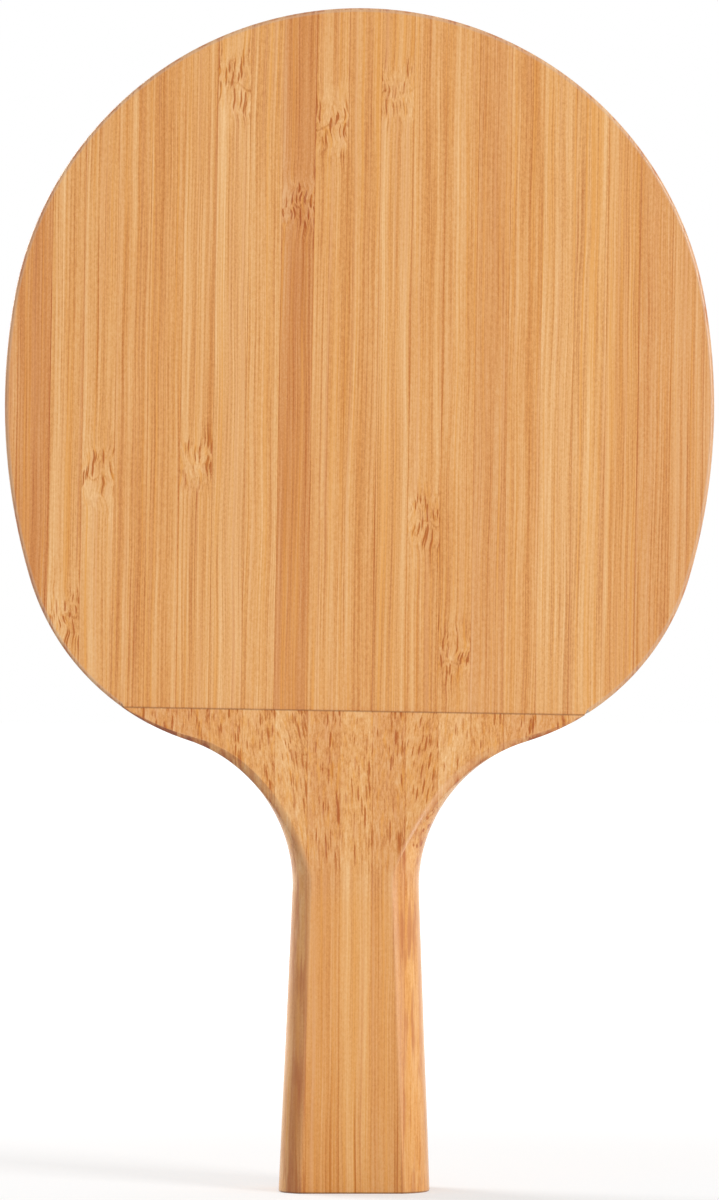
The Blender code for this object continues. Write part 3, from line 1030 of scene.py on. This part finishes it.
def bamboo(tone):
    material = bpy.data.materials.new("bamboo_" + tone)
    material.use_nodes = True
    tree = material.node_tree
    shader = tree.nodes["Principled BSDF"]
    slat = read_slat(tree)
    knuckle = knuckle_near(tree, slat)
    heave = noise(tree, slat["grain"], "heave")
    fibre = along_the_fibres(tree, slat, knuckle, heave)
    bands = noise(tree, fibre, "bands")
    patterns = {
        "bands": bands,
        "stain": brown_stain(tree, slat, bands),
        "fine": noise(tree, fibre, "fine"),
        "mottle": noise(tree, slat["grain"], "mottle"),
        "bundle": bundles(tree, slat, fibre, knuckle),
        "joint": joint_line(tree, slat),
    }
    light = lightness(tree, slat, patterns, knuckle, heave)
    colour = warmed(tree, shades_of(tree, tone, light), slat, fibre, patterns["stain"])
    # grey with a painted sheen, and burnt edges and rusty roundings that are partly painted shade
    colour = rubbed_and_painted_light(tree, colour, slat)
    colour = blended(tree, colour, GLUE_AND_SHADE, glue_and_painted_shade(tree, slat, facing(tree)[1]))
    tree.links.new(colour, shader.inputs["Base Color"])
    lacquer(tree, shader, slat, patterns)
    return material


materials = {tone: bamboo(tone) for tone in TONES}
print("materials:", ", ".join(material.name for material in materials.values()))

# %% [markdown]
# ## The slats
#
# Each slat stands in for one node of the imported model, which it hides, and gets the material of
# its tone. The lists say which tone a slat has, on which side its bundles lie close together, how
# far up its knuckle is, and whether it has a brown core or leaning bundles. Random draws would be
# shorter, but these lists put the marked slats where the photograph shows them.

# %% Slats of the blade
BLADE_TONES = (
    "tan brown honey honey golden golden honey pale honey brown golden golden"
    " honey golden golden tan golden pale pale golden tan tan tan"
).split()
BLADE_DENSE_SIDES = [1, 1, 1, 1, 1, -1, 1, 1, -1, 1, -1, 1, -1, 1, -1, 1, -1, 1, -1, 1, -1, 1, -1]
BLADE_KNUCKLES = {
    3: (120.5 * MM, 0.85),
    4: (150.5 * MM, 1.0),
    7: (152.9 * MM, 0.65),
    8: (233.8 * MM, 0.95),
    10: (209.0 * MM, 0.85),
    11: (225.6 * MM, 0.9),
    13: (232.5 * MM, 0.6),
    14: (142.0 * MM, 0.85),
    15: (113.4 * MM, 0.65),
}  # slat: height and strength of its knuckle
BLADE_BROWN_CORES = {
    1: (0.0, 0.5, 0.5, 0.5),
    2: (0.0, 0.5, 0.5, 0.35),
    10: (0.0, 0.1, 0.1, 1.0),
}  # slat: the core's place across it, and how brown it is at the butt, the ramp's toe and the crown
print(len(BLADE_TONES), "slats in the blade,", len(BLADE_KNUCKLES), "with a knuckle")

# %% Slats of the handle halves
HANDLE_TONES = "tan tan tan golden honey pale tan honey tan golden pale golden tan tan tan".split()
HANDLE_DENSE_SIDES = [1] * len(HANDLE_TONES)
HANDLE_BROWN_CORES = {
    6: (0.55, 1.3, 0.3, 0.0),
    7: (-0.8, 0.35, 0.1, 0.0),
    8: (0.0, -0.7, -0.1, 0.0),
    9: (0.0, -0.2, 0.2, 0.0),
    10: (-0.3, -0.3, 0.2, 0.0),
    11: (0.0, 0.0, -0.4, 0.0),
}  # a core that is brown by less than 0 is pale
HANDLE_LEANS = {5: 0.15, 6: 0.5, 10: -0.5, 11: -0.2}  # slat: how far its bundles lean
print(len(HANDLE_TONES), "slats in a handle half,", len(HANDLE_LEANS), "with leaning bundles")

# %% Marking the grain
STEM = 0.4  # metres of stem, each way, that the slats were cut from


def brown_core(brown, z):
    """How brown the core is at z, from the butt up to the crown."""
    at_butt, at_toe, at_crown = brown[1:]
    if z < ramp_toe:
        return at_butt + (at_toe - at_butt) * z / ramp_toe
    return at_toe + (at_crown - at_toe) * (z - ramp_toe) / (BAT_LENGTH - ramp_toe)


def mark_grain(mesh, place, lines, lean, details, number):
    """Gives each point its place in the slat and in the stem."""
    tone, dense_side, (knuckle, strength), brown, lean_of_bundles = details
    width = lines[1] - lines[0]
    middle = lines[place] - width / 2 if place < len(lines) else lines[-1] + width / 2
    draw = random.Random(number)
    origin = [draw.uniform(0, STEM) for _ in range(3)]
    for name in SLAT_VECTORS:
        mesh.attributes.new(name, "FLOAT_VECTOR", "POINT")
    for index, vert in enumerate(mesh.vertices):
        x, y, z = vert.co
        across, along = across_and_along(x, z, lean)
        marks = {
            "grain": (across - middle + origin[0], y + origin[1], along + origin[2]),
            "place": ((across - middle) / (width / 2), along - knuckle, seam_at(x) - z),
            "shade": (dense_side, strength, lean_of_bundles),
            "brown": (brown_core(brown, z), brown[0], 0),
        }
        for name, vector in marks.items():
            mesh.attributes[name].data[index].vector = vector


print("the core of slat 10 is brown by", brown_core(BLADE_BROWN_CORES[10], BAT_LENGTH), "at the crown")

# %% Making a slat
SHARP = math.radians(30)


def add_slat(board, bm, place, lines, lean, details, seed):
    number = place + 1
    tone = details[0]
    sawn = saw_slat(bm, lines, place, lean)
    mesh = bpy.data.meshes.new(f"{board}_slat_{number:02d}")
    sawn.to_mesh(mesh)
    sawn.free()
    mesh.shade_smooth()
    mesh.set_sharp_from_angle(angle=SHARP)
    mark_grain(mesh, place, lines, lean, details, seed + number)
    mesh.materials.append(materials[tone])
    piece = bpy.data.objects.new(mesh.name, mesh)
    bpy.context.scene.collection.objects.link(piece)
    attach(piece, "root")
    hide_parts(f"{board}_strip_{number:02d}")
    return piece


print(f"edges of more than {math.degrees(SHARP):.0f} degrees stay sharp")

# %% Making all of them
NO_KNUCKLE = (9.0, 0.0)  # far above the bat, and of no strength
NO_CORE = (0, 0, 0, 0)


def add_board(board, bm, lines, lean, looks, seed):
    tones, dense_sides, knuckles, brown_cores, leans = looks
    made = []
    for place, (tone, dense_side) in enumerate(zip(tones, dense_sides)):
        knuckle = knuckles.get(place + 1, NO_KNUCKLE)
        brown = brown_cores.get(place + 1, NO_CORE)
        details = (tone, dense_side, knuckle, brown, leans.get(place + 1, 0))
        made.append(add_slat(board, bm, place, lines, lean, details, seed))
    return made


blade_looks = (BLADE_TONES, BLADE_DENSE_SIDES, BLADE_KNUCKLES, BLADE_BROWN_CORES, {})
handle_looks = (HANDLE_TONES, HANDLE_DENSE_SIDES, {}, HANDLE_BROWN_CORES, HANDLE_LEANS)
slats = add_board("blade", blade, blade_lines, BLADE_LEAN, blade_looks, seed=0)
slats += add_board("front_handle", front_half, handle_lines, HANDLE_LEAN, handle_looks, seed=100)
slats += add_board("back_handle", back_half, handle_lines, HANDLE_LEAN, handle_looks, seed=200)
print(len(slats), "slats,", sum(len(slat.data.polygons) for slat in slats), "faces")

# %% [markdown]
# ## Floor, light and camera
#
# The bat stands on a pale matt floor in a white room, and the room's light is even. A tall soft
# box at the right, in front, draws long highlights down the roundings. Two soft boxes behind the
# bat light its outline, its back and the floor, and the left one is the stronger. Together they
# light a surface that faces the camera about as brightly as its colour is written. Where it is
# seen, the floor also glows a little, and more so further away. It runs into the white room
# without a horizon, and keeps the bat's shadow. The camera looks straight at the bat from 1.6 m,
# which gives the slight perspective of a product photo.

# %% Floor
FLOOR_SIZE = 12.0

bm = bmesh.new()
bmesh.ops.create_grid(bm, x_segments=1, y_segments=1, size=FLOOR_SIZE / 2)
floor_mesh = bpy.data.meshes.new("floor")
bm.to_mesh(floor_mesh)
bm.free()
floor = bpy.data.objects.new("floor", floor_mesh)
bpy.context.scene.collection.objects.link(floor)
print(f"the floor is {floor.dimensions.x:.0f} m wide")

# %% Pale paper on the floor
PAPER = (0.58, 0.58, 0.58, 1)
GLOW_START = 0.1  # metres from the bat
GLOW_END = 0.7
NEAR_GLOW = 0.43
FAR_GLOW = 0.95


def only_seen(tree):
    """1 where a surface is looked at or mirrored, and 0 where it lights something."""
    ray = add_node(tree, "ShaderNodeLightPath").outputs
    seen = work_out(tree, "ADD", ray["Is Camera Ray"], ray["Is Glossy Ray"])
    return work_out(tree, "ADD", seen, ray["Is Transmission Ray"], clamp=True)


paper = bpy.data.materials.new("pale_paper")
paper.use_nodes = True
tree = paper.node_tree
tree.nodes.clear()
matt = add_node(tree, "ShaderNodeBsdfDiffuse", {"Color": PAPER})
glow = add_node(tree, "ShaderNodeEmission")
spot = add_node(tree, "ShaderNodeTexCoord").outputs["Object"]
away = add_node(tree, "ShaderNodeVectorMath", {0: spot}, operation="LENGTH").outputs["Value"]
strength = fade(tree, away, GLOW_START, GLOW_END, NEAR_GLOW, FAR_GLOW)
tree.links.new(times(tree, only_seen(tree), strength), glow.inputs["Strength"])
both = add_node(tree, "ShaderNodeAddShader", {0: matt.outputs[0], 1: glow.outputs[0]})
add_node(tree, "ShaderNodeOutputMaterial", {"Surface": both.outputs[0]})
floor_mesh.materials.append(paper)
print(f"the floor's glow grows from {NEAR_GLOW} to {FAR_GLOW} within {GLOW_END} m")

# %% Room light
ROOM_LIGHT = 0.46

world = bpy.data.worlds.new("white_room")
bpy.context.scene.world = world
world.use_nodes = True
tree = world.node_tree
strength = times_plus(tree, only_seen(tree), 1.0 - ROOM_LIGHT, ROOM_LIGHT)
tree.links.new(strength, tree.nodes["Background"].inputs["Strength"])
tree.nodes["Background"].inputs["Color"].default_value = (1, 1, 1, 1)
print(f"the room is seen as 1 and lights by {ROOM_LIGHT}")

# %% Soft boxes
LAMP_TARGET = Vector((0, 0, 0.13))
SOFT_BOXES = {  # name: place, width and height in metres, power in watts
    "soft_box_right": ((2.0, -2.15, 0.85), (1.0, 1.6), 62.0),
    "rim_box_left": ((-1.6, 1.3, 1.0), (1.2, 1.4), 37.0),
    "rim_box_right": ((1.6, 1.3, 1.0), (1.2, 1.4), 4.0),
}

for name, (place, size, power) in SOFT_BOXES.items():
    lamp = bpy.data.lights.new(name, "AREA")
    lamp.shape = "RECTANGLE"
    lamp.size, lamp.size_y = size
    lamp.energy = power
    box = bpy.data.objects.new(name, lamp)
    box.location = place
    box.rotation_euler = (box.location - LAMP_TARGET).to_track_quat("Z", "Y").to_euler()
    bpy.context.scene.collection.objects.link(box)
    print(f"{name}: {power:.0f} W, {(box.location - LAMP_TARGET).length:.1f} m from the bat")

# %% Camera
CAMERA_DISTANCE = 1.6
CAMERA_HEIGHT = 124.85 * MM
FRAME_HEIGHT = 253.6 * MM  # of the picture, at the blade's face
SENSOR = 36.0
FARTHEST = 100.0  # metres that the camera sees

camera_data = bpy.data.cameras.new("camera")
camera_data.sensor_width = SENSOR
camera_data.lens = SENSOR * CAMERA_DISTANCE / FRAME_HEIGHT
camera_data.clip_end = FARTHEST
camera = bpy.data.objects.new("camera", camera_data)
camera.location = (0, -CAMERA_DISTANCE - BLADE_HALF, CAMERA_HEIGHT)
camera.rotation_euler = (math.pi / 2, 0, 0)
bpy.context.scene.collection.objects.link(camera)
bpy.context.scene.camera = camera
bpy.context.scene.view_settings.view_transform = "Standard"
print(f"lens {camera_data.lens:.0f} mm")

# %% The end
bpy.context.view_layer.update()
